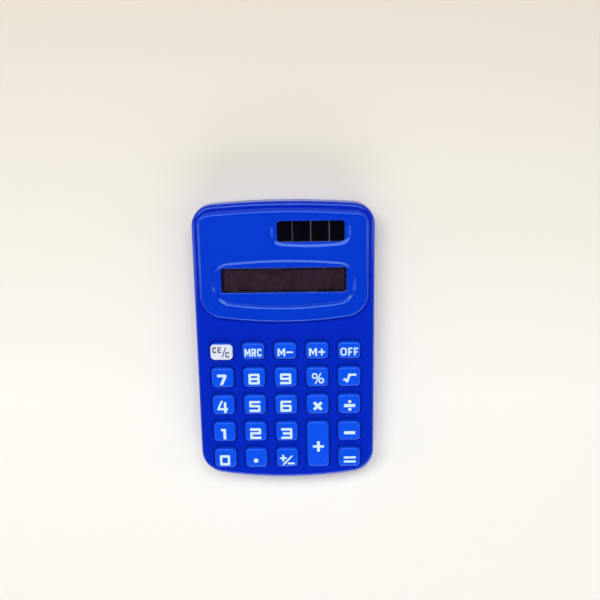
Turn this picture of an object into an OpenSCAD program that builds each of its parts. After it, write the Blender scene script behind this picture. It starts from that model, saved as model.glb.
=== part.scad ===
// Pocket calculator with twenty-four keys, a raised display hood and a solar panel.
// It lies on its back: +Z points out of the keys, +Y towards the display.
// The origin is on the rear face, under the middle of the body.

/* [Keypad] */
// Distance between key columns
col_pitch = 10.2; // [9.8:0.1:14]
// Distance between key rows
row_pitch = 9.25; // [8.9:0.05:14]
// Width of a key
key_w = 7.1; // [5.5:0.1:7.7]
// Length of a number key
key_l = 6.5; // [5:0.1:7]
// Length of a key in the function row
function_key_l = 5.5; // [4.9:0.1:7]
// Gap between the function row and the row below it
function_gap = 2.8; // [2.2:0.1:6]
// Corner radius of a key
key_r = 1.3; // [0.8:0.1:1.8]
// Rounding along the upper edge of a key
key_edge = 0.6; // [0.2:0.1:0.7]
// Height of the keys above the deck
key_rise = 1.3; // [1:0.1:2.5]
// How far a key goes down
key_travel = 1.0; // [0.5:0.1:1.2]
// Gap between a key and its opening
key_gap = 0.5; // [0.3:0.05:0.6]

/* [Body] */
// From the outer keys to the sides of the body
side_margin = 4.8; // [4.2:0.1:12]
// From the lowest keys to the lower end of the body
lower_margin = 4.6; // [4.6:0.05:14]
// From the function row to the hood
hood_gap = 6.55; // [5.6:0.05:15]
// Length of the hood
hood_l = 35.8; // [35:0.1:60]
// From the hood to the upper end of the body
upper_margin = 2.5; // [2:0.1:8]
// From the sides of the hood to the sides of the body
hood_inset = 2.15; // [1.5:0.05:4]
// Corner radius at the upper end of the body
upper_r = 7; // [5:0.5:9]
// Corner radius at the lower end of the body
lower_r = 8; // [5:0.5:9]
// How far the upper end of the body bows out
upper_bow = 1.4; // [0.5:0.1:3]
// How far the lower end of the body bows out
lower_bow = 3.0; // [0.5:0.1:4]
// Corner radius at the upper end of the hood
hood_upper_r = 3.8; // [2.5:0.1:8]
// Corner radius at the lower end of the hood
hood_lower_r = 7.5; // [4:0.1:10]
// How far the lower end of the hood bows out
hood_bow = 2.6; // [0.5:0.1:4]

/* [Heights] */
// Height of the joint between the rear casing and the front casing
split_z = 4.4; // [4:0.1:5]
// Height of the deck round the keys
deck_z = 8.0; // [7.6:0.1:12]
// Height of the hood above the deck
hood_rise = 1.8; // [1.2:0.1:5]
// Wall thickness of both casings
wall = 1.3; // [0.9:0.1:1.6]
// Rounding along the edge of the deck
deck_edge = 1.4; // [0.6:0.1:2]
// Rounding along the edge of the hood
hood_edge = 1.0; // [0.4:0.1:1.2]
// Rounding along the edge of the rear face
rear_edge = 1.4; // [0.5:0.1:2]

/* [Display] */
// Width of the display window
window_w = 39.3; // [25:0.1:42]
// Length of the display window
window_l = 7.8; // [5:0.1:8.6]
// From the upper end of the hood to the middle of the display window
window_y = 22.2; // [21:0.1:23]
// From the display window to the side of its dish
dish_side = 3.05; // [2:0.05:4]
// From the display window to the upper end of its dish
dish_upper = 2.8; // [2:0.1:3.2]
// From the display window to the lower end of its dish
dish_lower = 5.2; // [3:0.1:5.6]
// Depth of the display dish
dish_depth = 0.6; // [0.3:0.1:1.2]
// Width of the slope round the display dish
dish_slope = 1.0; // [0.3:0.1:1.5]

/* [Solar panel] */
// Width of the solar window
solar_w = 21; // [12:0.5:24]
// Length of the solar window
solar_l = 6.5; // [4:0.1:7]
// From the centre line to the middle of the solar window
solar_x = 8.6; // [7.6:0.1:10]
// From the upper end of the hood to the middle of the solar window
solar_y = 7.0; // [6.6:0.1:8]
// From the solar window to the side of its dish
solar_side = 1.9; // [1:0.1:2.4]
// From the solar window to the ends of its dish
solar_end = 1.6; // [1:0.1:1.8]
// Depth of the solar dish
solar_depth = 0.5; // [0.2:0.1:1]
// Width of the slope round the solar dish
solar_slope = 0.8; // [0.3:0.1:1.5]

/* [Inside] */
// Thickness of the circuit board
board_t = 1.0; // [0.8:0.1:1.2]
// Thickness of the key membrane between its domes
membrane_t = 0.6; // [0.4:0.1:0.8]
// Diameter of the button cell
cell_d = 7.9; // [5.8:0.1:9.5]
// Thickness of the button cell
cell_t = 3.6; // [1.6:0.1:3.8]
// Shank diameter of the casing screws
casing_screw_d = 1.7; // [1.4:0.1:2]
// Shank diameter of the board screws
board_screw_d = 1.4; // [1.2:0.1:1.7]

/* [Hidden] */
// One row for each key: name, column and row from the lower left, rows that it covers
KEYS = [
    ["key_0", 0, 0, 1], ["key_point", 1, 0, 1], ["key_sign", 2, 0, 1], ["key_equals", 4, 0, 1],
    ["key_1", 0, 1, 1], ["key_2", 1, 1, 1], ["key_3", 2, 1, 1], ["key_subtract", 4, 1, 1],
    ["key_4", 0, 2, 1], ["key_5", 1, 2, 1], ["key_6", 2, 2, 1], ["key_multiply", 3, 2, 1],
    ["key_divide", 4, 2, 1],
    ["key_7", 0, 3, 1], ["key_8", 1, 3, 1], ["key_9", 2, 3, 1], ["key_percent", 3, 3, 1],
    ["key_root", 4, 3, 1],
    ["key_clear", 0, 4, 1], ["key_memory_recall", 1, 4, 1], ["key_memory_minus", 2, 4, 1],
    ["key_memory_plus", 3, 4, 1], ["key_off", 4, 4, 1],
    ["key_add", 3, 0, 2]
];

columns = 5;
rows = 5;
corner_steps = 6;
bow_steps = 10;
edge_steps = 4;
skin = 0.01;     // thickness of the slices that a loft is made from
over = 0.5;      // how far a cut runs past the face that it opens
$fn = 40;

// Plan: the body grows from the keypad and the hood
body_w = (columns - 1) * col_pitch + key_w + 2 * side_margin;
keypad_l = (rows - 2) * row_pitch + key_l + function_gap + function_key_l;
body_l = lower_margin + keypad_l + hood_gap + hood_l + upper_margin;
lower_y = -body_l / 2;
hood_y0 = lower_y + lower_margin + keypad_l + hood_gap;
hood_y1 = hood_y0 + hood_l;
hood_w = body_w - 2 * hood_inset;

// An outline is [width, length, upper corner radius, upper bow radius, lower corner radius,
// lower bow radius], centred on its own middle.
function bow_radius(w, bow) = (w * w / 4 + bow * bow) / (2 * bow);
body_shape = [body_w, body_l, upper_r, bow_radius(body_w, upper_bow), lower_r,
              bow_radius(body_w, lower_bow)];
hood_shape = [hood_w, hood_l, hood_upper_r, bow_radius(hood_w, upper_bow), hood_lower_r,
              bow_radius(hood_w, hood_bow)];

// Display: window, dish and glass share one centre line
window_cy = hood_y1 - window_y;
window_r = 0.7;
dish_w = window_w + 2 * dish_side;
dish_l = window_l + dish_upper + dish_lower;
dish_cy = window_cy + (dish_upper - dish_lower) / 2;
dish_upper_r = 5.6;
dish_lower_r = 6.2;
dish_upper_bow = 1.4;
dish_lower_bow = 2.2;
dish_shape = [dish_w, dish_l, dish_upper_r, bow_radius(dish_w, dish_upper_bow), dish_lower_r,
              bow_radius(dish_w, dish_lower_bow)];

// Solar panel
solar_cy = hood_y1 - solar_y;
solar_r = 1.0;
solar_dish_w = solar_w + 2 * solar_side;
solar_dish_l = solar_l + 2 * solar_end;
solar_dish_r = 4;
solar_upper_bow = 0.5;
solar_lower_bow = 0.9;
solar_shape = [solar_dish_w, solar_dish_l, solar_dish_r, bow_radius(solar_dish_w, solar_upper_bow),
               solar_dish_r, bow_radius(solar_dish_w, solar_lower_bow)];

// Heights, from the deck down to the board
deck_under = deck_z - wall;
flange_t = 0.7;
key_base = deck_under - flange_t;
key_top = deck_z + key_rise;
dome_squash = 0.5;
board_top = key_base - key_travel - dome_squash - membrane_t;
board_bottom = board_top - board_t;
hood_z = deck_z + hood_rise;
hood_under = hood_z - wall;
body_draft = 0.25;
hood_draft = 0.2;
seam = 0.15;                // each casing's edge is cut back along the joint between them

// Windows: a pane that fills its opening, on a thin flange glued to the inside of the dish
pane_fit = 0.1;
pane_sink = 0.4;
pane_flange_t = 0.5;
pane_flange = 1.2;
dish_floor = hood_z - dish_depth;
dish_under = dish_floor - wall;
solar_floor = hood_z - solar_depth;
solar_under = solar_floor - wall;

// Display stack under its pane
film_t = 0.2;
glass_t = 1.1;
glass_margin = 2.6;
ledge = 2.6;
glass_w = window_w + 2 * glass_margin;
glass_l = window_l + 2 * glass_margin;
film_z = dish_under - pane_flange_t - film_t;
glass_z = film_z - glass_t;
rear_glass_z = glass_z - glass_t;
frame_fit = 0.2;
frame_t = 0.8;
connector_w = 1.6;

// Solar panel under its pane
panel_t = 1.1;
panel_margin = 1.0;
panel_w = solar_w + 2 * panel_margin;
panel_l = solar_l + 2 * panel_margin;
panel_z = solar_under - pane_flange_t - panel_t;

// Keys
key_wall = 0.9;
key_post_r = 1.2;
brim = key_gap + 0.15;      // the flange at a key's foot closes the gap and reaches under the deck
brim_r = key_r + brim + 0.6;
ear_gap = 0.2;
ear_w = 3.4;
ear_x = (col_pitch - key_w) / 2 - ear_gap;
ear_y = min(row_pitch - key_l, function_gap) / 2 - ear_gap;

// Screws: position, then the boss and post that each one holds together
boss_wall = 0.65;
casing_boss_r = casing_screw_d / 2 + boss_wall;
board_boss_r = board_screw_d / 2 + boss_wall;
screw_fit = 0.05;
hole_fit = 0.25;
screw_bite = 3.2;
screw_head_r = casing_screw_d / 2 + 0.6;
screw_head_t = 1.1;
screw_sink = 0.3;
tip_gap = 0.3;
board_head_r = board_screw_d / 2 + 0.6;
board_head_t = 0.7;
lower_screw_y = lower_y + 3.75;
upper_screw_x = body_w / 2 - 5.2;
upper_screw_y = body_l / 2 - 5.3;
casing_screw_at = [
    [-1.5 * col_pitch, lower_screw_y], [1.5 * col_pitch, lower_screw_y],
    [-upper_screw_x, upper_screw_y], [upper_screw_x, upper_screw_y]
];
strip_y = hood_y0 - hood_gap / 2 + 0.4;
web_y = (row_y(1) + row_y(2)) / 2;
board_screw_at = [
    [-1.5 * col_pitch, web_y], [1.5 * col_pitch, web_y],
    [-1.5 * col_pitch, strip_y], [1.5 * col_pitch, strip_y]
];

// Tongue of the rear casing inside the front casing
tongue_t = 0.55;
tongue_fit = 0.1;
tongue_top = split_z + 0.8;

// Circuit board
board_fit = 0.5;

// Cell, left of the solar panel and above the display frame
contact_t = 0.25;
contact_tail = 1.2;
clip_w = 4;
clip_gap = 0.3;
clip_foot = 1.6;
cell_side = 3.0;
cell_r = cell_d / 2;
cell_z = board_top + contact_t;
cell_x = solar_x - panel_w / 2 - frame_fit - frame_t - cell_r - clip_gap - clip_foot - cell_side;
cell_y = solar_cy;
lead_d = 0.7;
lead_run = 2.5;
lead_bend = 0.9;

// Parts under the board
chip_r = 4.5;
chip_top_r = 2.6;
chip_foot = 0.4;
chip_h = 1.0;
resistor_size = [2, 1.25, 0.5];
capacitor_size = [2, 1.25, 0.8];
diode_size = [2.6, 1.5, 0.9];
part_gap = 4.5;

// ---- helpers ----

function key_x(k) = (k[1] - (columns - 1) / 2) * col_pitch;
function row_y(row) = row == rows - 1
    ? lower_y + lower_margin + keypad_l - function_key_l / 2
    : lower_y + lower_margin + key_l / 2 + row * row_pitch;
function key_y(k) = row_y(k[2]) + (k[3] - 1) * row_pitch / 2;
function key_length(k) = k[2] == rows - 1 ? function_key_l : key_l + (k[3] - 1) * row_pitch;

// Points on an arc, without its last one
function arc(c, r, a0, a1, steps) =
    [for (i = [0 : steps - 1]) c + r * [cos(a0 + (a1 - a0) * i / steps), sin(a0 + (a1 - a0) * i / steps)]];

// The upper end of an outline, from its right side round to its left: a bow between two corners,
// all tangent to each other
function end_points(w, l, r, bow_r) =
    let (bow_c = [0, l / 2 - bow_r],
         corner_x = w / 2 - r,
         corner_y = bow_c[1] + sqrt(pow(bow_r - r, 2) - corner_x * corner_x),
         a = atan2(corner_y - bow_c[1], corner_x))
    concat(
        arc([corner_x, corner_y], r, 0, a, corner_steps),
        arc(bow_c, bow_r, a, 180 - a, bow_steps),
        arc([-corner_x, corner_y], r, 180 - a, 180, corner_steps),
        [[-w / 2, corner_y]]);

function outline(s) = concat(end_points(s[0], s[1], s[2], s[3]),
                             [for (p = end_points(s[0], s[1], s[4], s[5])) -p]);

// The same outline moved in by d all round
least_r = 0.3;
function inset(s, d) = [s[0] - 2 * d, s[1] - 2 * d, max(s[2] - d, least_r), s[3] - d,
                        max(s[4] - d, least_r), s[5] - d];

module slice(s, z, d = 0) {
    translate([0, 0, z]) linear_extrude(skin) polygon(outline(inset(s, d)));
}

module plate(s, z0, z1, d = 0) {
    translate([0, 0, z0]) linear_extrude(z1 - z0) polygon(outline(inset(s, d)));
}

// Solid from z0 up to z1 whose upper edge is rounded and whose sides lean in by draft; its lower
// edge is cut back by seam
module crowned(s, z0, z1, edge, draft = 0, seam = 0) {
    hull() {
        slice(s, z0, seam);
        slice(s, z0 + seam);
        for (i = [0 : edge_steps])
            let (a = 90 * i / edge_steps)
            slice(s, z1 - skin - edge * (1 - sin(a)), draft + edge * (1 - cos(a)));
    }
}

module rounded_rect(w, l, r) {
    square([w - 2 * r, l], center = true);
    square([w, l - 2 * r], center = true);
    for (x = [-1, 1], y = [-1, 1])
        translate([x * (w / 2 - r), y * (l / 2 - r)]) circle(r);
}

module rounded_plate(w, l, r, z0, z1) {
    translate([0, 0, z0]) linear_extrude(z1 - z0) rounded_rect(w, l, r);
}

// Half section of a block whose upper edge is rounded
module edge_section(w, h, edge) {
    square([w / 2 - edge, h]);
    square([w / 2, h - edge]);
    translate([w / 2 - edge, h - edge]) circle(edge);
}

module full_section(w, h, edge) {
    edge_section(w, h, edge);
    mirror([1, 0]) edge_section(w, h, edge);
}

// Block with round corners and a rounded upper edge, from z0 to z1
module soft_block(w, l, r, z0, z1, edge) {
    h = z1 - z0;
    translate([0, 0, z0]) {
        rotate([90, 0, 0]) linear_extrude(l - 2 * r, center = true) full_section(w, h, edge);
        rotate([90, 0, 90]) linear_extrude(w - 2 * r, center = true) full_section(l, h, edge);
        for (x = [-1, 1], y = [-1, 1])
            translate([x * (w / 2 - r), y * (l / 2 - r)])
                rotate_extrude() edge_section(2 * r, h, edge);
    }
}

module at_points(points) {
    for (p = points) translate([p[0], p[1], 0]) children();
}

// Rib round a glass plate of w by l, from z up to the inside of the hood
module frame_ring(w, l, z) {
    translate([0, 0, z]) linear_extrude(hood_under + skin - z) difference() {
        square([w + 2 * (frame_fit + frame_t), l + 2 * (frame_fit + frame_t)], center = true);
        square([w + 2 * frame_fit, l + 2 * frame_fit], center = true);
    }
}

// Ring that follows the body's wall, between two depths in from its outside
module wall_ring(d0, d1, z0, z1) {
    translate([0, 0, z0]) linear_extrude(z1 - z0) difference() {
        polygon(outline(inset(body_shape, d0)));
        polygon(outline(inset(body_shape, d1)));
    }
}

// ---- casings ----

module key_openings() {
    for (k = KEYS)
        translate([key_x(k), key_y(k), 0])
            rounded_plate(key_w + 2 * key_gap, key_length(k) + 2 * key_gap, key_r + key_gap,
                          deck_under - over, deck_z + over);
}

module at_hood() {
    translate([0, (hood_y0 + hood_y1) / 2, 0]) children();
}

module at_dish() {
    translate([0, dish_cy, 0]) children();
}

module at_solar() {
    translate([solar_x, solar_cy, 0]) children();
}

module dish_cut(s, floor_z, slope) {
    hull() {
        slice(s, hood_z);
        slice(s, floor_z, slope);
    }
    plate(s, hood_z, hood_z + over);
}

module boss(p, r) {
    under = p[1] > hood_y0 ? hood_under : deck_under;
    translate([p[0], p[1], board_top]) cylinder(r = r, h = under - board_top + skin);
}

module front_bosses() {
    for (p = casing_screw_at) boss(p, casing_boss_r);
    for (p = board_screw_at) boss(p, board_boss_r);
}

module front_casing() {
    color("royalblue") difference() {
        union() {
            difference() {
                union() {
                    crowned(body_shape, split_z, deck_z, deck_edge, body_draft, seam);
                    at_hood() crowned(hood_shape, deck_z - deck_edge, hood_z, hood_edge, hood_draft);
                }
                plate(body_shape, split_z - over, deck_under, wall);
                at_hood() plate(hood_shape, deck_under - over, hood_under, wall + hood_draft);
            }
            // The floors of both dishes, thick enough to carry the panes
            at_dish() plate(dish_shape, dish_under, hood_under + skin, -wall / 2);
            at_solar() plate(solar_shape, solar_under, hood_under + skin, -wall / 2);
            // Frames that hold the display glass and the solar panel in place
            translate([0, window_cy - ledge / 2, 0]) frame_ring(glass_w, glass_l + ledge, glass_z);
            at_solar() frame_ring(panel_w, panel_l, panel_z);
            front_bosses();
        }
        at_dish() dish_cut(dish_shape, dish_floor, dish_slope);
        at_solar() dish_cut(solar_shape, solar_floor, solar_slope);
        translate([0, window_cy, 0])
            rounded_plate(window_w, window_l, window_r, dish_under - over, hood_z);
        at_solar() rounded_plate(solar_w, solar_l, solar_r, solar_under - over, hood_z);
        key_openings();
        // Groove for the tongue of the rear casing
        wall_ring(wall - tongue_t - tongue_fit, wall + skin, split_z - skin, tongue_top + tongue_fit);
        at_points(casing_screw_at)
            translate([0, 0, board_top - skin])
                cylinder(d = casing_screw_d + 2 * screw_fit, h = screw_bite);
        at_points(board_screw_at)
            translate([0, 0, board_top - skin])
                cylinder(d = board_screw_d + 2 * screw_fit, h = deck_under - board_top);
    }
}

// Room inside the rear casing, round the posts for the screws and the pads under the board
module rear_cavity() {
    post_r = screw_head_r + hole_fit + 0.8;
    pad_r = 1.2;
    difference() {
        plate(body_shape, wall, split_z + over, wall);
        at_points(casing_screw_at) cylinder(r = post_r, h = board_bottom);
        for (x = [-2, 2], y = [web_y, strip_y])
            translate([x * col_pitch, y, 0]) cylinder(r = pad_r, h = board_bottom);
    }
}

module rear_casing() {
    head_floor = screw_sink + screw_head_t;
    color("mediumblue") difference() {
        union() {
            difference() {
                mirror([0, 0, 1]) crowned(body_shape, -split_z, 0, rear_edge, 0, seam);
                rear_cavity();
            }
            wall_ring(wall - tongue_t, wall, split_z - skin, tongue_top);
        }
        at_points(casing_screw_at) {
            translate([0, 0, -over]) cylinder(r = screw_head_r + hole_fit, h = head_floor + over);
            cylinder(d = casing_screw_d + 2 * hole_fit, h = board_bottom + over);
        }
    }
}

// ---- windows, display and solar panel ----

module pane(w, l, r, under, floor_z) {
    rounded_plate(w - 2 * pane_fit, l - 2 * pane_fit, r, under - skin, floor_z - pane_sink);
    rounded_plate(w + 2 * pane_flange, l + 2 * pane_flange, r + pane_flange, under - pane_flange_t, under);
}

module display_window() {
    color("slategray") translate([0, window_cy, 0])
        pane(window_w, window_l, window_r, dish_under, dish_floor);
}

module solar_window() {
    color("dimgray") at_solar() pane(solar_w, solar_l, solar_r, solar_under, solar_floor);
}

// Two glass plates: the front one reaches past the rear one, and its ledge carries the contacts
module display_glass() {
    color("darkslategray") {
        translate([0, window_cy - ledge / 2, glass_z + glass_t / 2])
            cube([glass_w, glass_l + ledge, glass_t], center = true);
        translate([0, window_cy, rear_glass_z + glass_t / 2])
            cube([glass_w, glass_l, glass_t + 2 * skin], center = true);
    }
}

module display_films() {
    color("black") translate([0, window_cy, film_z + film_t / 2])
        cube([glass_w - 1, glass_l - 1, film_t], center = true);
    color("silver") translate([0, window_cy, rear_glass_z - skin - film_t / 2])
        cube([glass_w - 1, glass_l - 1, film_t], center = true);
}

module display_connector() {
    color("pink") translate([0, window_cy - glass_l / 2 - ledge / 2, (board_top + glass_z) / 2])
        cube([window_w, connector_w, glass_z - board_top], center = true);
}

module solar_panel() {
    color("black") translate([solar_x, solar_cy, panel_z + panel_t / 2])
        cube([panel_w, panel_l, panel_t], center = true);
}

// One lead: along under the panel, then bent down to the board
module lead() {
    wire_z = panel_z - lead_d / 2;
    drop = wire_z - lead_bend - board_top;
    translate([0, 0, wire_z]) rotate([90, 0, 0]) cylinder(d = lead_d, h = lead_run);
    translate([0, -lead_run, wire_z - lead_bend]) rotate([0, 90, 0]) rotate([0, 0, 180])
        rotate_extrude(angle = 90) translate([lead_bend, 0]) circle(d = lead_d);
    translate([0, -lead_run - lead_bend, board_top]) cylinder(d = lead_d, h = drop);
}

module solar_leads() {
    lead_x = panel_w / 2 - 2 * lead_d;
    color("red") at_solar()
        for (x = [-lead_x, lead_x]) translate([x, panel_l / 2 - lead_d, 0]) lead();
}

// ---- board and what it carries ----

module board_outline() {
    polygon(outline(inset(body_shape, wall + board_fit)));
}

module circuit_board() {
    color("darkgreen") difference() {
        translate([0, 0, board_bottom]) linear_extrude(board_t) board_outline();
        at_points(casing_screw_at)
            translate([0, 0, board_bottom - over])
                cylinder(d = casing_screw_d + 2 * hole_fit, h = board_t + 2 * over);
        at_points(board_screw_at)
            translate([0, 0, board_bottom - over])
                cylinder(d = board_screw_d + 2 * hole_fit, h = board_t + 2 * over);
    }
}

module chip() {
    color("black") translate([0, window_cy, board_bottom]) mirror([0, 0, 1]) {
        cylinder(r = chip_r, h = chip_foot);
        translate([0, 0, chip_foot - skin]) cylinder(r1 = chip_r, r2 = chip_top_r, h = chip_h - chip_foot);
    }
}

module under_board(size, x, y) {
    translate([x, y, board_bottom - size[2] / 2]) cube(size, center = true);
}

module resistor() {
    color("black") under_board(resistor_size, -chip_r - part_gap, window_cy);
}

module capacitor() {
    color("tan") under_board(capacitor_size, chip_r + part_gap, window_cy);
}

module diode() {
    color("dimgray") under_board(diode_size, solar_x, solar_cy);
}

// One silicone moulding: a sheet, a hollow dome under each key and a contact pill inside each dome
module key_membrane() {
    dome_z = board_top + membrane_t;
    dome_h = key_base - dome_z;
    dome_r = 2.4;
    dome_top_r = 1.7;
    dome_wall = 0.4;
    pill_r = 1.1;
    sheet_w = (columns - 1) * col_pitch + key_w + 1;
    sheet_l = keypad_l + 0.6;
    color("gainsboro") difference() {
        union() {
            translate([0, lower_y + lower_margin + keypad_l / 2, board_top + membrane_t / 2])
                cube([sheet_w, sheet_l, membrane_t], center = true);
            for (k = KEYS)
                translate([key_x(k), key_y(k), dome_z - skin])
                    cylinder(r1 = dome_r, r2 = dome_top_r, h = dome_h + skin);
        }
        for (k = KEYS)
            translate([key_x(k), key_y(k), board_top]) difference() {
                union() {
                    translate([0, 0, -skin]) cylinder(r = dome_r - dome_wall, h = membrane_t + 2 * skin);
                    translate([0, 0, membrane_t])
                        cylinder(r1 = dome_r - dome_wall, r2 = dome_top_r - dome_wall,
                                 h = dome_h - dome_wall);
                }
                translate([0, 0, key_travel]) cylinder(r = pill_r, h = dome_h + membrane_t);
            }
        // Clearance round the bosses that stand on the board
        for (holes = [[casing_screw_at, casing_boss_r], [board_screw_at, board_boss_r]])
            at_points(holes[0])
                translate([0, 0, board_top - over])
                    cylinder(r = holes[1] + hole_fit, h = membrane_t + 2 * over);
    }
}

// Button cell: a can with a crimped edge round its smaller cap
module button_cell() {
    cap_h = 0.6;
    crimp = 0.8;
    can_edge = 0.3;
    color("silver") translate([cell_x, cell_y, cell_z]) {
        cylinder(r = cell_r - crimp, h = cap_h + skin);
        translate([0, 0, cap_h]) rotate_extrude() edge_section(2 * cell_r, cell_t - cap_h, can_edge);
    }
}

// Leaf under the cell
module cell_contact() {
    color("goldenrod") translate([cell_x, cell_y, board_top]) {
        cylinder(r = cell_r / 2, h = contact_t);
        translate([-cell_r / 4, -cell_r - contact_tail, 0])
            cube([cell_r / 2, cell_r + contact_tail, contact_t]);
    }
}

// Strap over the cell, with a foot on the board at each side
module cell_clip() {
    inner = cell_r + clip_gap;
    top = cell_z + cell_t - board_top;
    color("goldenrod") translate([cell_x, cell_y, board_top])
        rotate([90, 0, 0]) linear_extrude(clip_w, center = true) {
            for (side = [-1, 1]) scale([side, 1]) {
                translate([inner, 0]) square([contact_t, top + contact_t]);
                translate([inner, 0]) square([clip_foot, contact_t]);
                translate([-skin, top]) square([inner + contact_t + skin, contact_t]);
            }
        }
}

// ---- screws ----

module screw(d, head_r, head_t, head_z, tip_z) {
    slot = head_r * 0.45;
    difference() {
        union() {
            translate([0, 0, head_z]) mirror([0, 0, 1]) rotate_extrude()
                edge_section(2 * head_r, head_t, 0.25);
            translate([0, 0, head_z - skin]) cylinder(d = d, h = tip_z - head_z - d / 2 + skin);
            translate([0, 0, tip_z - d / 2 - skin]) cylinder(d1 = d, d2 = d * 0.4, h = d / 2 + skin);
        }
        for (a = [0, 90])
            translate([0, 0, head_z - head_t]) rotate([0, 0, a])
                cube([head_r * 1.3, slot, head_t * 1.1], center = true);
    }
}

module casing_screws() {
    tip_z = board_top + screw_bite - tip_gap;
    color("silver") at_points(casing_screw_at)
        screw(casing_screw_d, screw_head_r, screw_head_t, screw_sink + screw_head_t, tip_z);
}

module board_screws() {
    color("silver") at_points(board_screw_at)
        screw(board_screw_d, board_head_r, board_head_t, board_bottom, deck_under - tip_gap);
}

// ---- keys ----

module key(k) {
    l = key_length(k);
    cavity_r = max(key_r - key_wall, 0.3);
    color("dodgerblue") translate([key_x(k), key_y(k), 0]) {
        difference() {
            union() {
                soft_block(key_w, l, key_r, key_base, key_top, key_edge);
                // Flange all round, and the ears that keep the key under the deck
                rounded_plate(key_w + 2 * brim, l + 2 * brim, brim_r, key_base, key_base + flange_t);
                translate([0, 0, key_base + flange_t / 2]) {
                    cube([key_w + 2 * ear_x, ear_w, flange_t], center = true);
                    cube([ear_w, l + 2 * ear_y, flange_t], center = true);
                }
            }
            rounded_plate(key_w - 2 * key_wall, l - 2 * key_wall, cavity_r,
                          key_base - over, key_top - key_wall);
        }
        translate([0, 0, key_base]) cylinder(r = key_post_r, h = key_rise + wall);
    }
}

rear_casing();
front_casing();
display_window();
solar_window();
display_glass();
display_films();
display_connector();
solar_panel();
solar_leads();
circuit_board();
key_membrane();
chip();
resistor();
capacitor();
diode();
button_cell();
cell_clip();
cell_contact();
casing_screws();
board_screws();
for (k = KEYS)
    key(k);
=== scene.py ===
"""Pocket calculator: casings, keys, legends, windows and the finishes of its inner parts."""

import math

import bmesh
import bpy
from bpy.props import FloatProperty, FloatVectorProperty, IntProperty, PointerProperty
from mathutils import Matrix, Vector


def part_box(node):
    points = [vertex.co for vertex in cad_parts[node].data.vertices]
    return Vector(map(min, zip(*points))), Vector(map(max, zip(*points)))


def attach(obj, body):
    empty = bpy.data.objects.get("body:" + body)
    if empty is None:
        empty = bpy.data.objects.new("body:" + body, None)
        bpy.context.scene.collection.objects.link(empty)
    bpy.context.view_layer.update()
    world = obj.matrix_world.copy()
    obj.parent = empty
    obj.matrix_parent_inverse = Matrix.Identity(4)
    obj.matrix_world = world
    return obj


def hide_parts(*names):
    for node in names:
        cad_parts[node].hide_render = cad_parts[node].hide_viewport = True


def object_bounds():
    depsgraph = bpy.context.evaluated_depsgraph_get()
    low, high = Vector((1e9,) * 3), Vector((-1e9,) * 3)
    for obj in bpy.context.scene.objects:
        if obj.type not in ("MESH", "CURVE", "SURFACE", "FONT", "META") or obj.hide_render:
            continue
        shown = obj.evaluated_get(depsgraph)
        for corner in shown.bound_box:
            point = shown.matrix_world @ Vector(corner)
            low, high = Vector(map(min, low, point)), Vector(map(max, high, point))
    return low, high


bl_info = {
    "name": "Pocket Calculator",
    "version": (1, 0, 0),
    "blender": (4, 5, 0),
    "location": "3D View > Sidebar > Calculator",
    "description": "Builds a pocket calculator's casings, keys, legends and windows on its frame",
    "category": "Add Mesh",
}

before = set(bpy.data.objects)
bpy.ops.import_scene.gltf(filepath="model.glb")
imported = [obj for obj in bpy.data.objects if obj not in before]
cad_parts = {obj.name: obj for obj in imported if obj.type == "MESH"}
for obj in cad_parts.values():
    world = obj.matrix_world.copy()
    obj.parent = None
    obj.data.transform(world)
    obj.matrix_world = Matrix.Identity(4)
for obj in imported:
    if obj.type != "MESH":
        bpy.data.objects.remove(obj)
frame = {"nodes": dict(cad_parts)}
CAD_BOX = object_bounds()
MM = 0.001
CASING = "casing"      # the body that everything but the keys rides on
BODY_LOW, BODY_HIGH = CAD_BOX[0] / MM, CAD_BOX[1] / MM
# Lowest and highest corner of each CAD node, in millimetres
BOXES = {node: [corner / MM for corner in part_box(node)] for node in frame["nodes"]}
KEY_NODES = sorted(n for n in BOXES if n.startswith("key_") and n != "key_membrane")


def cad_middle(node):
    low, high = BOXES[node]
    return (low + high) / 2


def cad_length(node):
    low, high = BOXES[node]
    return high.y - low.y


# ---- sizes and colours that a user would change ----

def length(name, description, default):
    return FloatProperty(name=name, description=description, default=default * MM, min=0.0,
                         soft_max=0.1, precision=5, unit="LENGTH")


def colour(name, description, default):
    return FloatVectorProperty(name=name, description=description, default=default, size=3,
                               min=0.0, max=1.0, subtype="COLOR")


class CasingSizes(bpy.types.PropertyGroup):
    body_width: length("Body width", "Width of both casings", BODY_HIGH.x - BODY_LOW.x)
    body_length: length("Body length", "Length of both casings", BODY_HIGH.y - BODY_LOW.y)
    body_upper_r: length("Upper corners", "Corner radius at the upper end of the body", 7)
    body_lower_r: length("Lower corners", "Corner radius at the lower end of the body", 8)
    body_upper_bow: length("Upper bow", "How far the upper end of the body bows out", 1.4)
    body_lower_bow: length("Lower bow", "How far the lower end of the body bows out", 3)
    hood_width: length("Hood width", "Width of the raised hood", 53.2)
    hood_length: length("Hood length", "Length of the raised hood", 35.8)
    hood_upper_r: length("Hood upper corners", "Corner radius at the upper end of the hood", 3.8)
    hood_lower_r: length("Hood lower corners", "Corner radius at the lower end of the hood", 7.5)
    hood_upper_bow: length("Hood upper bow", "How far the upper end of the hood bows out", 1.4)
    hood_lower_bow: length("Hood lower bow", "How far the lower end of the hood bows out", 2.6)
    upper_margin: length("Upper margin", "From the hood to the upper end of the body", 2.5)
    split: length("Joint height", "Height of the joint between the casings", 4.4)
    deck: length("Deck height", "Height of the deck round the keys", 8)
    wall: length("Wall", "Wall thickness of the casings", 1.3)
    deck_edge: length("Deck edge", "Rounding along the edge of the deck", 1.4)
    hood_edge: length("Hood edge", "Rounding along the edge of the hood", 1.0)
    rear_edge: length("Rear edge", "Rounding along the edge of the rear face", 1.0)
    lip: length("Lip", "Rounding of the lips round the openings", 0.18)


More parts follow.
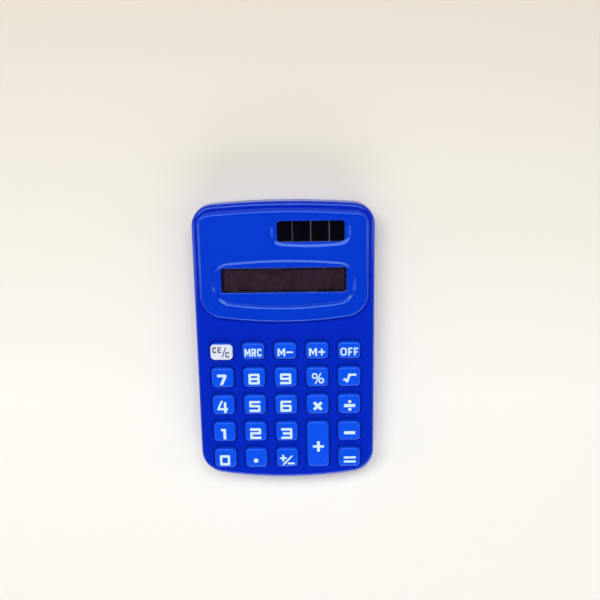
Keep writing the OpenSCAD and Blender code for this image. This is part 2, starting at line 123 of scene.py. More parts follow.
class DisplaySizes(bpy.types.PropertyGroup):
    window_width: length("Window width", "Width of the display window", 39.3)
    window_length: length("Window length", "Length of the display window", 7.8)
    window_r: length("Window corners", "Corner radius of the display window", 0.7)
    dish_side: length("Dish side", "From the window to the side of its dish", 3.05)
    dish_upper: length("Dish upper", "From the window to the upper end of its dish", 2.8)
    dish_lower: length("Dish lower", "From the window to the lower end of its dish", 5.2)
    dish_depth: length("Dish depth", "Depth of the display dish", 0.6)
    dish_slope: length("Dish slope", "Width of the slope round the display dish", 1.0)
    solar_width: length("Solar window width", "Width of the solar window", 21)
    solar_length: length("Solar window length", "Length of the solar window", 6.5)
    solar_r: length("Solar window corners", "Corner radius of the solar window", 1.2)
    solar_side: length("Solar dish side", "From the solar window to the side of its dish", 1.9)
    solar_end: length("Solar dish end", "From the solar window to the ends of its dish", 1.6)
    solar_depth: length("Solar dish depth", "Depth of the solar dish", 0.35)
    solar_slope: length("Solar dish slope", "Width of the slope round the solar dish", 0.8)
    pane_sink: length("Pane sink", "How far a pane lies below its dish floor", 0.4)
    cells: IntProperty(name="Cells", description="Cells of the solar panel", default=4, min=1,
                       max=8)
    cell_gap: length("Cell gap", "Width of the line between two solar cells", 0.12)


class KeySizes(bpy.types.PropertyGroup):
    width: length("Key width", "Width of a key", 7.1)
    function_length: length("Function key length", "Length of a key in the function row", 5.5)
    corner: length("Key corners", "Corner radius of a key", 1.3)
    edge: length("Key edge", "Rounding along the upper edge of a key", 0.6)
    crown: length("Key crown", "Rise of a key from its upper and lower ends to its middle", 0.2)
    gap: length("Key gap", "Gap between a key and its opening", 0.5)
    ink: length("Ink", "Thickness of the printed legends", 0.03)


class Finishes(bpy.types.PropertyGroup):
    hood: colour("Hood", "Plastic of the front casing on the hood", (0.002, 0.040, 0.60))
    # The deck is darker than the hood only as painted shade, round the keys and under the hood; the
    # front casing is one plastic
    deck: colour("Deck", "Plastic of the front casing round the keys", (0.002, 0.022, 0.52))
    rear: colour("Rear casing", "Plastic of the rear casing", (0.002, 0.030, 0.55))
    key: colour("Keys", "Plastic of the keys", (0.002, 0.080, 0.84))
    ink: colour("Ink", "Printed legends", (0.62, 0.83, 0.90))
    patch: colour("Patch", "Patch printed on the clear key", (0.71, 0.75, 0.88))
    dark_ink: colour("Dark ink", "Legend on the printed patch", (0.02, 0.028, 0.08))
    floor: colour("Floor", "Plain floor", (0.93, 0.905, 0.85))


class Sizes:
    """The lengths of a property group as plain numbers in millimetres, by name."""

    def __init__(self, group):
        for name, prop in group.bl_rna.properties.items():
            if prop.type == "FLOAT" and not prop.is_array:
                setattr(self, name, getattr(group, name) / MM)


# ---- node trees and materials ----

class Nodes:
    """Makes, sets and links the nodes of one tree."""

    def __init__(self, tree):
        self.tree = tree

    def feed(self, socket, value):
        """Links an output to a socket, or gives the socket a plain value."""
        if isinstance(value, bpy.types.NodeSocket):
            self.tree.links.new(value, socket)
        else:
            socket.default_value = value

    def node(self, kind, inputs=(), **settings):
        """A node of a kind with its settings, and what goes into its inputs."""
        made = self.tree.nodes.new("ShaderNode" + kind)
        for name, value in settings.items():
            setattr(made, name, value)
        for name, value in dict(inputs).items():
            self.feed(made.inputs[name], value)
        return made

    def along(self, vector, axis):
        return self.node("SeparateXYZ", {"Vector": vector}).outputs[axis]

    def combine(self, operation, *values):
        return self.node("Math", enumerate(values), operation=operation).outputs["Value"]

    def spread(self, value, low, high, start=0.3, end=0.7, **settings):
        """Goes from low to high as a value goes from start to end, which suit noise."""
        made = self.node("MapRange", {"Value": value, "From Min": start, "From Max": end,
                                      "To Min": low, "To Max": high}, **settings)
        return made.outputs["Result"]

    def ramp(self, value, *stops):
        """Colour that goes from one (position, shade) to another with a value."""
        made = self.node("ValToRGB", {"Fac": value})
        for element, (position, shade) in zip(made.color_ramp.elements, stops):
            element.position = position
            element.color = (*shade, 1.0)
        return made.outputs["Color"]

    def mix(self, factor, *shades):
        """Colour that goes from one shade to another as a factor goes from 0 to 1."""
        made = self.node("Mix", {"Factor": factor}, data_type="RGBA")
        for socket, shade in zip([s for s in made.inputs if s.type == "RGBA"], shades):
            self.feed(socket, shade)
        return next(s for s in made.outputs if s.type == "RGBA")


class Finish(Nodes):
    """A Principled material whose colour, roughness and bump come from noise in object space."""

    def __init__(self, name):
        self.material = bpy.data.materials.new(name)
        self.material.use_nodes = True
        super().__init__(self.material.node_tree)
        self.place = self.node("TexCoord").outputs["Object"]

    def noise(self, size, detail=3.0, stretch=None):
        """Noise whose features are about size millimetres wide."""
        place = self.place
        if stretch:
            place = self.node("Mapping", {"Scale": stretch, "Vector": place}).outputs["Vector"]
        made = self.node("TexNoise", {"Scale": 1 / (size * MM), "Detail": detail, "Vector": place})
        return made.outputs["Fac"]

    def mottle(self, shade, size, amount):
        """Colour that varies by amount, up and down, over patches of size millimetres."""
        dark = [c * (1 - amount) for c in shade]
        light = [min(c * (1 + amount), 1.0) for c in shade]
        return self.ramp(self.noise(size), (0.3, dark), (0.7, light))

    def painted_shadow_frame(self, inner, outer, centre, sides, band):
        """Mottled inner colour that turns into another along the sides of a rectangle: a painted
        shadow along its edges.
        """
        edge = 0.0
        for axis, middle, side in zip("XY", centre, sides):
            offset = self.combine("SUBTRACT", self.along(self.place, axis), middle * MM)
            near = self.spread(self.combine("ABSOLUTE", offset), 0, 1, (side / 2 - band) * MM,
                               side / 2 * MM, interpolation_type="SMOOTHSTEP")
            edge = self.combine("MAXIMUM", edge, near)
        return self.mix(edge, self.mottle(inner, 9, 0.18), self.mottle(outer, 9, 0.18))

    def coat(self, colour, sheen, grain, stretch=None, **values):
        """Finishes the material and returns it.

        The sheen is the lowest and highest roughness and the size of its patches, and the grain
        is the size and height of a bump. The values are for other sockets of the shader.
        """
        low, high, patch = sheen
        size, height = grain
        bump = self.node("Bump", {"Strength": 1.0, "Distance": height * MM,
                                  "Height": self.noise(size, stretch=stretch)})
        shader = self.tree.nodes["Principled BSDF"]
        self.feed(shader.inputs["Base Color"], colour)
        self.feed(shader.inputs["Roughness"], self.spread(self.noise(patch, 4.0), low, high))
        self.feed(shader.inputs["Normal"], bump.outputs["Normal"])
        for name, value in values.items():
            shader.inputs[name.replace("_", " ")].default_value = value
        return self.material


def plastic(name, shade, rough=(0.12, 0.18), grain=(1.4, 0.0008), upper=None, heights=(0, 1)):
    """Moulded plastic; a second shade may take over between two heights in millimetres. On the
    front casing the darker lower shade is painted shade on the deck.
    """
    made = Finish(name)
    colour = made.mottle(shade, 14, 0.02)
    if upper is not None:
        # Painted shade: below the hood's level the plastic takes the darker shade
        share = made.spread(made.along(made.place, "Z"), 0, 1, *[z * MM for z in heights])
        colour = made.mix(share, colour, made.mottle(upper, 14, 0.02))
    return made.coat(colour, (*rough, 1.6), grain, IOR=1.5, Specular_Tint=(0.4, 0.75, 1.0, 1.0))


def mottled(name, shade, mottle, sheen, grain, **values):
    """A finish of one shade, mottled over patches of a size and by an amount."""
    made = Finish(name)
    return made.coat(made.mottle(shade, *mottle), sheen, grain, **values)


def metal(name, shade, rough, size=0.6):
    return mottled(name, shade, (1.5, 0.08), (*rough, size), (size, 0.004), Metallic=1.0)


def matte(name, shade, rough=(0.55, 0.75), size=0.4, bump=0.008, amount=0.08):
    return mottled(name, shade, (size * 6, amount), (*rough, size * 2), (size, bump), IOR=1.45)


def clear(name, tint):
    return mottled(name, tint, (6, 0.04), (0.03, 0.07, 1.5), (2.5, 0.002), IOR=1.49,
                   Specular_IOR_Level=0.3, Transmission_Weight=1.0)


def dress(obj, *materials):
    obj.data.materials.clear()
    for material in materials:
        obj.data.materials.append(material)


# ---- outlines and the steps that a face is raised or sunk by ----

CORNER_STEPS, BOW_STEPS = 10, 24       # along an outline's corner and along its bow
ROUND_STEPS = 6                        # along the corner of a plain rectangle


class Shape:
    """Outline with a bow at each end, tangent to the corners beside it; sizes in millimetres."""

    def __init__(self, centre, width, length, upper, lower):
        self.centre = centre
        self.width, self.length = width, length
        self.upper, self.lower = upper, lower        # (corner radius, bow radius)

    def inset(self, d):
        return Shape(self.centre, self.width - 2 * d, self.length - 2 * d,
                     (self.upper[0] - d, self.upper[1] - d),
                     (self.lower[0] - d, self.lower[1] - d))


def bowed(centre, width, length, upper_r, upper_bow, lower_r, lower_bow):
    """A shape from its corner radii and from how far its ends bow out."""
    ends = [(r, (width * width / 4 + bow * bow) / (2 * bow))
            for r, bow in ((upper_r, upper_bow), (lower_r, lower_bow))]
    return Shape(centre, width, length, *ends)


def swing(bm, vert, centre, angle, steps):
    """Draws a vertex round centre and returns the vertex at the end of the arc."""
    made = bmesh.ops.spin(bm, geom=[vert], cent=centre, axis=(0, 0, 1), dvec=(0, 0, 0),
                          angle=angle, space=Matrix(), steps=steps, use_merge=False,
                          use_normal_flip=False, use_duplicate=False)
    return next(g for g in made["geom_last"] if isinstance(g, bmesh.types.BMVert))


def shape_face(bm, shape, z):
    """A flat face inside a shape's outline, facing up."""
    cx, cy = shape.centre
    before = set(bm.edges)
    first = last = None
    for side, (corner, bow) in ((1, shape.upper), (-1, shape.lower)):
        reach = shape.width / 2 - corner
        rise = math.sqrt((bow - corner) ** 2 - reach ** 2)
        turn = math.atan2(rise, reach)
        bow_y = shape.length / 2 - bow
        start = bm.verts.new((cx + side * shape.width / 2, cy + side * (bow_y + rise), z))
        if last:
            bm.edges.new((last, start))
        first = first or start
        corner_at = Vector((side * reach, side * (bow_y + rise), 0))
        last = swing(bm, start, Vector((cx, cy, z)) + corner_at, turn, CORNER_STEPS)
        last = swing(bm, last, Vector((cx, cy + side * bow_y, z)), math.pi - 2 * turn, BOW_STEPS)
        corner_at.x = -corner_at.x
        last = swing(bm, last, Vector((cx, cy, z)) + corner_at, turn, CORNER_STEPS)
    bm.edges.new((last, first))
    edges = [e for e in bm.edges if e not in before]
    return upward(bmesh.ops.edgeloop_fill(bm, edges=edges)["faces"][0])


def upward(face):
    face.normal_update()
    if face.normal.z < 0:
        face.normal_flip()
    return face


def box_face(bm, centre, width, length, radius, z):
    """A flat rectangle with round corners, facing up."""
    place = Matrix.Translation((centre[0], centre[1], z)) @ Matrix.Diagonal(
        (width / 2, length / 2, 1, 1))
    verts = bmesh.ops.create_grid(bm, x_segments=1, y_segments=1, size=1, matrix=place)["verts"]
    if radius > 0:
        verts = round_corners(bm, verts, radius, ROUND_STEPS)
    return upward(verts[0].link_faces[0])


def round_corners(bm, verts, radius, steps):
    return bmesh.ops.bevel(bm, geom=verts, offset=radius, offset_type="OFFSET", affect="VERTICES",
                           segments=steps, profile=0.5, material=-1)["verts"]


def disc_face(bm, centre, radius, z, steps=32):
    made = bmesh.ops.create_circle(bm, cap_ends=True, segments=steps, radius=radius,
                                   matrix=Matrix.Translation((centre[0], centre[1], z)))
    return upward(made["verts"][0].link_faces[0])


def straight(inward, up):
    return [(inward, up)]


def bend(radius, start, end, steps):
    """Steps round an arc, from one direction of travel to another, in degrees above inward."""
    r = radius if end > start else -radius
    angles = [math.radians(start + (end - start) * i / steps) for i in range(steps + 1)]
    return [(r * (math.sin(b) - math.sin(a)), r * (math.cos(a) - math.cos(b)))
            for a, b in zip(angles, angles[1:])]


def climb(bm, face, *runs):
    """Moves a face along runs of (inward, up) steps and leaves a wall behind each step."""
    for run in runs:
        for inward, up in run:
            bmesh.ops.inset_region(bm, faces=[face], thickness=inward, depth=up,
                                   use_boundary=True, use_even_offset=True)
    return face


def walls(bm, face, *runs):
    """The walls that a climb leaves behind, with nothing across their far end."""
    bmesh.ops.delete(bm, geom=[climb(bm, face, *runs)], context="FACES_ONLY")


def fill(bm, edges, normal):
    bmesh.ops.triangle_fill(bm, use_beauty=True, use_dissolve=False, edges=edges, normal=normal)


def fill_level(bm, z):
    """Closes the open loops that lie at height z with one flat surface."""
    fill(bm, [e for e in bm.edges if len(e.link_faces) < 2
              and all(abs(v.co.z - z) < 1e-4 for v in e.verts)], (0, 0, 1))


def new_object(name, bm):
    mesh = bpy.data.meshes.new(name)
    bm.to_mesh(mesh)
    bm.free()
    obj = bpy.data.objects.new(name, mesh)
    bpy.context.scene.collection.objects.link(obj)
    return obj


CREASE = math.radians(38)              # a sharper edge than this is shaded as one


def piece(name, bm, body, slot, *materials, replaces=()):
    """Makes an object of a bmesh drawn in millimetres, hangs it on its body and hides the CAD parts
    it replaces.
    """
    bmesh.ops.remove_doubles(bm, verts=bm.verts, dist=1e-5)
    bmesh.ops.recalc_face_normals(bm, faces=bm.faces)
    bmesh.ops.scale(bm, vec=(MM, MM, MM), verts=bm.verts)
    for face in bm.faces:
        face.smooth = True
    for edge in bm.edges:
        edge.smooth = len(edge.link_faces) == 2 and edge.calc_face_angle(0) < CREASE
    obj = new_object(name, bm)
    dress(obj, *materials)
    weighted = obj.modifiers.new("Weighted normals", "WEIGHTED_NORMAL")
    weighted.keep_sharp = True
    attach(obj, body)
    if replaces:
        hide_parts(*replaces)
    return obj


# ---- what the pieces share ----

class Plan:
    """Sizes in millimetres, and the shapes that several pieces take their place from."""

    def __init__(self):
        scene = bpy.context.scene
        self.body_sizes = Sizes(scene.calculator_casing)
        self.display = Sizes(scene.calculator_display)
        self.keys = Sizes(scene.calculator_keys)
        c, d = self.body_sizes, self.display
        middle = (BODY_LOW + BODY_HIGH) / 2
        self.top = BODY_HIGH.z
        self.body = bowed((middle.x, middle.y), c.body_width, c.body_length, c.body_upper_r,
                          c.body_upper_bow, c.body_lower_r, c.body_lower_bow)
        hood_y = BODY_HIGH.y - c.upper_margin - c.hood_length / 2
        self.hood = bowed((middle.x, hood_y), c.hood_width, c.hood_length, c.hood_upper_r,
                          c.hood_upper_bow, c.hood_lower_r, c.hood_lower_bow)
        window, solar = cad_middle("display_window"), cad_middle("solar_window")
        self.window, self.solar = (window.x, window.y), (solar.x, solar.y)
        self.floor_z, self.solar_z = self.top - d.dish_depth, self.top - d.solar_depth
        # Each opening's middle, width, length and corner radius, and the dish floor it is in
        self.window_hole = (self.window, d.window_width, d.window_length, d.window_r, self.floor_z)
        self.solar_hole = (self.solar, d.solar_width, d.solar_length, d.solar_r, self.solar_z)
        self.dish = bowed((window.x, window.y + (d.dish_upper - d.dish_lower) / 2),
                          d.window_width + 2 * d.dish_side,
                          d.window_length + d.dish_upper + d.dish_lower,
                          upper_r=5.6, upper_bow=1.4, lower_r=6.2, lower_bow=2.2)
        self.solar_dish = bowed(self.solar, d.solar_width + 2 * d.solar_side,
                                d.solar_length + 2 * d.solar_end,
                                upper_r=3.5, upper_bow=0.5, lower_r=3.5, lower_bow=0.9)

    def key_length(self, node):
        """Length of a key without its ears, which reach as far on every key."""
        ears = min(cad_length(n) for n in KEY_NODES) - self.keys.function_length
        return cad_length(node) - ears


# ---- casings ----

SEAM = 0.15            # rounding of each casing where they meet
BODY_DRAFT = 0.25      # how far the side of the body leans in up to the deck
HOOD_DRAFT = 0.075     # the same for the hood
HOOD_INSET = 0.12      # where the hood's side meets the deck, inside its outline
HOOD_FOOT = 0.2        # fillet along the foot of the hood


def window_opening(bm, centre, width, length, radius, floor_z, wall, lip):
    """Lip and walls of an opening, down through the wall under a dish floor.

    The lip is a shallow slope that ends in a small round.
    """
    slope = 21
    end = bend(lip * 0.25, -slope, -90, 3)
    inward = lip - sum(step for step, up in end)
    fall = inward * math.tan(math.radians(slope))
    rest = wall - fall + sum(up for step, up in end)
    walls(bm, box_face(bm, centre, width + 2 * lip, length + 2 * lip, radius + lip, floor_z),
          straight(inward, -fall), end, straight(0, -rest))


def dish(bm, shape, top, depth, slope, lip, foot):
    """Slope from the hood down to a dish floor, rounded at both ends."""
    angle = math.atan2(depth, slope)
    degrees, tangent = math.degrees(angle), math.tan(angle / 2)
    run = math.hypot(depth, slope) - (lip + foot) * tangent
    walls(bm, shape_face(bm, shape.inset(-lip * tangent), top), bend(lip, 0, -degrees, 5),
          straight(run * math.cos(angle), -run * math.sin(angle)), bend(foot, -degrees, 0, 5))


def front_casing_mesh(p):
    c, d, k = p.body_sizes, p.display, p.keys
    bm = bmesh.new()
    # Side of the body, from the seam up over the rounded edge to the deck
    walls(bm, shape_face(bm, p.body.inset(SEAM), c.split), bend(SEAM, 180, 90, 3),
          straight(BODY_DRAFT, c.deck - c.deck_edge - c.split - SEAM),
          bend(c.deck_edge, 90, 0, 10))
    # Hood, from a small fillet at its foot up over its rounded edge
    walls(bm, shape_face(bm, p.hood.inset(HOOD_INSET - HOOD_FOOT), c.deck),
          bend(HOOD_FOOT, 0, 90, 4),
          straight(HOOD_DRAFT, p.top - c.hood_edge - c.deck - HOOD_FOOT),
          bend(c.hood_edge, 90, 0, 10))
    # Dishes and the openings in their floors
    dish(bm, p.dish, p.top, d.dish_depth, d.dish_slope, lip=1.6, foot=0.2)
    dish(bm, p.solar_dish, p.top, d.solar_depth, d.solar_slope, lip=0.5, foot=0.1)
    window_opening(bm, *p.window_hole, c.wall, lip=0.37)
    window_opening(bm, *p.solar_hole, c.wall, lip=0.18)
    # Openings for the keys
    reach = k.gap + c.lip
    for node in KEY_NODES:
        walls(bm, box_face(bm, cad_middle(node), k.width + 2 * reach,
                           p.key_length(node) + 2 * reach, k.corner + reach, c.deck),
              bend(c.lip, 0, -90, 4), straight(0, -(c.wall - c.lip)))
    # Inside: the room under the deck, the room under the hood and the pockets of the dishes
    under, hood_under = c.deck - c.wall, p.top - c.wall
    for shape, start, end in (
            (p.body.inset(c.wall), c.split, under),
            (p.hood.inset(c.wall + 0.2), under, hood_under),
            (p.dish.inset(-c.wall / 2), hood_under, p.floor_z - c.wall),
            (p.solar_dish.inset(-0.05), hood_under, p.solar_z - c.wall)):
        walls(bm, shape_face(bm, shape, start), straight(0, end - start))
    for z in (c.split, under, c.deck, p.floor_z - c.wall, p.solar_z - c.wall, hood_under,
              p.floor_z, p.solar_z, p.top):
        fill_level(bm, z)
    return bm


def rear_casing_mesh(p):
    c = p.body_sizes
    bm = bmesh.new()
    # Side of the body, from the seam down over the rounded edge to the rear face
    walls(bm, shape_face(bm, p.body.inset(SEAM), c.split), bend(SEAM, 180, 270, 3),
          straight(0, -(c.split - c.rear_edge - SEAM)), bend(c.rear_edge, -90, 0, 10))
    # Counterbores for the screw heads, through the floor of the room inside
    head_r, hole_r, lip = 1.6, 1.0, 0.1
    for place in screw_places():
        walls(bm, disc_face(bm, place, head_r + lip, 0),
              [(inward, -up) for inward, up in bend(lip, 0, -90, 4)], straight(0, c.wall - lip))
    walls(bm, shape_face(bm, p.body.inset(1.1), c.split), straight(0, c.wall - c.split))
    # Posts that the screw heads bear on, each a closed form let into the floor
    post_r, step, head_height = 2.3, 0.03, 1.1
    foot, seat = c.wall - 0.1, c.wall + 0.6
    shelf_z = BOXES["casing_screws"][0].z + head_height
    for place in screw_places():
        walls(bm, disc_face(bm, place, post_r, foot), straight(0, seat - foot))
        walls(bm, disc_face(bm, place, head_r - step, foot), straight(0, shelf_z - foot),
              straight(head_r - step - hole_r, 0), straight(0, seat - shelf_z))
    for z in (0, foot, c.wall, seat, c.split):
        fill_level(bm, z)
    return bm


def screw_places():
    """Middle of each casing screw, from the loose solids of their node."""
    verts = [v.co / MM for v in frame["nodes"]["casing_screws"].data.vertices]
    places = []
    for x in (-1, 1):
        for y in (-1, 1):
            corner = [v for v in verts if v.x * x > 0 and v.y * y > 0]
            xs, ys = [v.x for v in corner], [v.y for v in corner]
            places.append(((min(xs) + max(xs)) / 2, (min(ys) + max(ys)) / 2))
    return places


# ---- keys and their legends ----

CROWN_BANDS = 6        # from the middle of a key to each end


def crown(bm, p, node, foot):
    """Bends whatever stands above a foot down towards the key's upper and lower ends."""
    middle, top = cad_middle(node), BOXES[node][1].z
    reach = p.key_length(node) / 2
    for i in range(1 - CROWN_BANDS, CROWN_BANDS):
        bmesh.ops.bisect_plane(bm, geom=[*bm.verts, *bm.edges, *bm.faces], dist=1e-5,
                               plane_co=(0, middle.y + reach * i / CROWN_BANDS, 0),
                               plane_no=(0, 1, 0))
    for vert in bm.verts:
        share = min(max(vert.co.z - foot, 0) / (top - foot), 1)
        vert.co.z -= share * p.keys.crown * ((vert.co.y - middle.y) / reach) ** 2


def key_mesh(p, node):
    k = p.keys
    low, high = BOXES[node]
    middle, base, top = (low + high) / 2, low.z, high.z
    span = p.key_length(node)
    wall, ear, post_r = 0.9, 0.7, 1.2
    bm = bmesh.new()
    # Outside, up over the rounded edge, with the top crowned from end to end
    climb(bm, box_face(bm, middle, k.width, span, k.corner, base + ear),
          straight(0, top - base - ear - k.edge), bend(k.edge, 90, 0, 8))
    crown(bm, p, node, base + ear)
    # Inside: a hollow with a post that stands on the membrane's dome
    ceiling = top - wall
    walls(bm, box_face(bm, middle, k.width - 2 * wall, span - 2 * wall, k.corner - wall, base),
          straight(0, ceiling - base))
    climb(bm, disc_face(bm, middle, post_r, ceiling, 24), straight(0, base - ceiling))
    fill_level(bm, ceiling)
    # The flange at the foot, with an ear on each side that keeps the key under the deck
    ear_x, ear_y, half, chamfer = (high.x - low.x) / 2, (high.y - low.y) / 2, 1.7, 0.6
    brim = k.gap + 0.15
    flange_x, flange_y = k.width / 2 + brim, span / 2 + brim
    quarter = [(half, ear_y), (half, flange_y), (k.width / 2 - chamfer, flange_y),
               (flange_x, span / 2 - chamfer), (flange_x, half), (ear_x, half)]
    outline = []
    for sx, sy, order in ((1, 1, 1), (1, -1, -1), (-1, -1, 1), (-1, 1, -1)):
        outline += [(middle.x + sx * x, middle.y + sy * y) for x, y in quarter[::order]]
    for z in (base, base + ear):
        verts = [bm.verts.new((x, y, z)) for x, y in outline]
        for a, b in zip(verts, verts[1:] + verts[:1]):
            bm.edges.new((a, b))
    bmesh.ops.bridge_loops(bm, edges=[e for e in bm.edges if not e.link_faces])
    for z in (base, base + ear):
        fill_level(bm, z)
    return bm


LEGEND_RISE = 0.28     # every legend is drawn from a point this far above its key's middle
SOFT = 0.06            # rounding of a legend's plain corners
FOOT, HEAD, STROKE = -1.96, 0.66, 0.5  # of a capital letter
# Digits stand on a to d; the middle stroke of a 3 begins at m, and an 8's waist is at p and q
COLUMNS = {"a": -1.82, "b": -1.04, "c": 1.02, "d": 1.80, "m": -1.32, "p": -1.66, "q": 1.64}
ROUNDINGS = {"o": 0.42, "s": 0.3, "t": 0.2}


def digit(path, *levels, shift=0.0):
    """One outline through a column's letter and a level's number at a time, with roundings."""
    return [[(COLUMNS[column] + shift, levels[int(level)], *[ROUNDINGS[r] for r in rounding])
             for column, level, *rounding in path.split()]]


def block(x0, y0, x1, y1, r=0.08):
    return [(x0, y0, r), (x1, y0, r), (x1, y1, r), (x0, y1, r)]


def ring(x0, y0, x1, y1, r, sx, sy):
    """Outer and inner outline of a ring whose strokes are sx and sy wide."""
    return [block(x0, y0, x1, y1, r), block(x0 + sx, y0 + sy, x1 - sx, y1 - sy, max(r - sx, 0.1))]


def slash(x0, y0, x1, y1, width):
    """A straight stroke between two points, with square ends."""
    along = Vector((x1 - x0, y1 - y0)).normalized()
    side = Vector((-along.y, along.x)) * width / 2
    start, end = Vector((x0, y0)), Vector((x1, y1))
    return [[start + side, start - side, end - side, end + side]]


def plus(x, y, width, height, bar, stem):
    w, h, b, s = width / 2, height / 2, bar / 2, stem / 2
    points = [(s, b), (s, h), (-s, h), (-s, b), (-w, b), (-w, -b), (-s, -b), (-s, -h), (s, -h),
              (s, -b), (w, -b), (w, b)]
    return [[(x + px, y + py) for px, py in points]]


def letter_m(x0, x1, s=0.56):
    mid = (x0 + x1) / 2
    return [[(x0, FOOT), (x0, HEAD), (x0 + s, HEAD), (mid, FOOT + 1.35), (x1 - s, HEAD),
             (x1, HEAD), (x1, FOOT), (x1 - s, FOOT), (x1 - s, HEAD - 0.95),
             (mid + 0.12, FOOT + 0.5), (mid - 0.12, FOOT + 0.5), (x0 + s, HEAD - 0.95),
             (x0 + s, FOOT)]]


def letter_f(x0, x1):
    s, mid = STROKE, FOOT + 0.95
    return [[(x0, FOOT), (x0, HEAD), (x1, HEAD), (x1, HEAD - s), (x0 + s, HEAD - s),
             (x0 + s, mid + s), (x1 - 0.2, mid + s), (x1 - 0.2, mid), (x0 + s, mid),
             (x0 + s, FOOT)]]


def letter_e(x0, x1, y0, y1, s):
    mid = (y0 + y1) / 2
    return [[(x0, y0), (x0, y1), (x1, y1), (x1, y1 - s), (x0 + s, y1 - s), (x0 + s, mid + s / 2),
             (x1 - 0.15, mid + s / 2), (x1 - 0.15, mid - s / 2), (x0 + s, mid - s / 2),
             (x0 + s, y0 + s), (x1, y0 + s), (x1, y0)]]


def letter_c(x0, x1, y0, y1, s, r=0.5):
    mid = (y0 + y1) / 2
    reach = (y1 - y0) * 0.36 / 2
    inner = min(r - s / 2, (x1 - x0) / 2 - s - 0.02)
    return [[(x1, mid + reach), (x1, y1, r), (x0, y1, r), (x0, y0, r), (x1, y0, r),
             (x1, mid - reach), (x1 - s, mid - reach), (x1 - s, y0 + s, inner),
             (x0 + s, y0 + s, inner), (x0 + s, y1 - s, inner), (x1 - s, y1 - s, inner),
             (x1 - s, mid + reach)]]


def letter_r(x0, x1):
    s, waist = STROKE, FOOT + 1.0
    return [[(x0, FOOT), (x0, HEAD), (x1, HEAD, 0.45), (x1, waist, 0.35), (x1 - 0.28, waist),
             (x1 + 0.05, FOOT), (x1 - 0.5, FOOT), (x1 - 0.74, waist), (x0 + s, waist),
             (x0 + s, FOOT)],
            [(x0 + s, waist + s * 0.8), (x1 - s, waist + s * 0.8, 0.15),
             (x1 - s, HEAD - s * 0.9, 0.15), (x0 + s, HEAD - s * 0.9)]]


def disc(x, y, r):
    """A round dot: a square whose corners are rounded off."""
    return [block(x - r, y - r, x + r, y + r, r * 0.99)]


